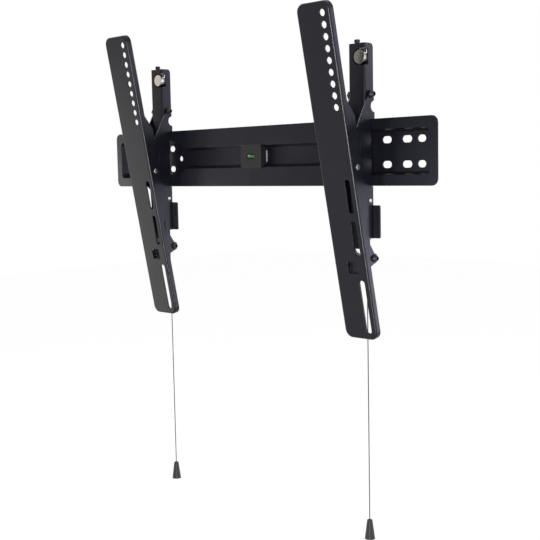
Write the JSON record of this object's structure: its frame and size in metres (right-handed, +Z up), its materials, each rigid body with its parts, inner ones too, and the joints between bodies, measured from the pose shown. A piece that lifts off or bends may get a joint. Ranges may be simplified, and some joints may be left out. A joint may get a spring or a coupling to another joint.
{
  "type": "tilting television wall bracket",
  "caption": "Tilting wall bracket for a flat television: a long pressed wall plate with a bubble level, and hook-on arms that carry tilting rails, with pull-cord latches.",
  "frame": {"origin": "on the wall's face, at the middle of the wall plate", "axes": "+X along the wall plate, +Y into the wall, +Z up"},
  "size_m": [0.636, 0.0966, 0.69],
  "materials": {
    "black_steel": "satin black powder coat on pressed steel",
    "bare_steel": "zinc-plated steel",
    "black_fastener": "black oxide steel",
    "nickel": "bright nickel plate",
    "black_plastic": "fine moulded texture",
    "pale_plastic": "moulded",
    "green_vial": "clear tinted",
    "nylon": "moulded nylon",
    "cord_fibre": "braided",
    "soft_metal": "crimped sleeve"
  },
  "bodies": {
    "plate": {"wall_plate": "black_steel", "level_housing": "black_plastic", "level_carrier": "pale_plastic", "level_vial": "green_vial"},
    "arm_left": {"tower_left": "black_steel", "tilt_bracket_left": "black_steel", "tilt_rivet_left": "bare_steel", "friction_washers_left": "nylon", "pivot_spacer_left": "bare_steel", "clamp_bolts_left": "black_fastener", "clamp_nuts_left": "black_fastener", "latch_rivet_left": "bare_steel", "latch_spring_left": "bare_steel"},
    "rail_left": {"tv_rail_left": "black_steel"},
    "latch_left": {"latch_left": "black_steel", "pull_cord_left": "cord_fibre", "cord_crimps_left": "soft_metal", "pull_grip_left": "black_plastic"},
    "stud_left": {"stud_carrier_left": "black_fastener", "level_stud_left": "nickel"},
    "screw_left": {"level_screw_left": "black_fastener"},
    "arm_right": {"tower_right": "black_steel", "tilt_bracket_right": "black_steel", "tilt_rivet_right": "bare_steel", "friction_washers_right": "nylon", "pivot_spacer_right": "bare_steel", "clamp_bolts_right": "black_fastener", "clamp_nuts_right": "black_fastener", "latch_rivet_right": "bare_steel", "latch_spring_right": "bare_steel"},
    "rail_right": {"tv_rail_right": "black_steel"},
    "latch_right": {"latch_right": "black_steel", "pull_cord_right": "cord_fibre", "cord_crimps_right": "soft_metal", "pull_grip_right": "black_plastic"},
    "stud_right": {"stud_carrier_right": "black_fastener", "level_stud_right": "nickel"},
    "screw_right": {"level_screw_right": "black_fastener"}
  },
  "joints": [
    {"name": "arm_slide_left", "type": "slide", "parent": "plate", "child": "arm_left", "axis": [1, 0, 0], "range_m": [-0.085, 0.12]},
    {"name": "rail_tilt_left", "type": "hinge", "parent": "arm_left", "child": "rail_left", "pos_m": [-0.1978, -0.045, -0.018], "axis": [1, 0, 0], "range_deg": [-15.8, 0.9]},
    {"name": "latch_pull_left", "type": "slide", "parent": "arm_left", "child": "latch_left", "axis": [0, 0, 1], "range_m": [-0.007, 0], "stiffness_N_per_m": 400, "springref_m": 0.01, "deforming": ["latch_spring_left"]},
    {"name": "screw_turn_left", "type": "hinge", "parent": "arm_left", "child": "screw_left", "pos_m": [-0.2019, -0.0173, 0.136], "axis": [0, 0, 1], "range_deg": [0, 1800]},
    {"name": "stud_slide_left", "type": "slide", "parent": "arm_left", "child": "stud_left", "axis": [0, 0, 1], "range_m": [0, 0.004]},
    {"name": "arm_slide_right", "type": "slide", "parent": "plate", "child": "arm_right", "axis": [1, 0, 0], "range_m": [-0.12, 0.085]},
    {"name": "rail_tilt_right", "type": "hinge", "parent": "arm_right", "child": "rail_right", "pos_m": [0.2022, -0.045, -0.018], "axis": [1, 0, 0], "range_deg": [-16.7, 0]},
    {"name": "latch_pull_right", "type": "slide", "parent": "arm_right", "child": "latch_right", "axis": [0, 0, 1], "range_m": [-0.007, 0], "stiffness_N_per_m": 400, "springref_m": 0.01, "deforming": ["latch_spring_right"]},
    {"name": "screw_turn_right", "type": "hinge", "parent": "arm_right", "child": "screw_right", "pos_m": [0.1981, -0.0173, 0.136], "axis": [0, 0, 1], "range_deg": [0, 1800]},
    {"name": "stud_slide_right", "type": "slide", "parent": "arm_right", "child": "stud_right", "axis": [0, 0, 1], "range_m": [0, 0.004]}
  ],
  "couplings": [
    {"joint": "screw_turn_left", "follows": "stud_slide_left", "rad_per_m": 7854},
    {"joint": "screw_turn_right", "follows": "stud_slide_right", "rad_per_m": 7854}
  ]
}
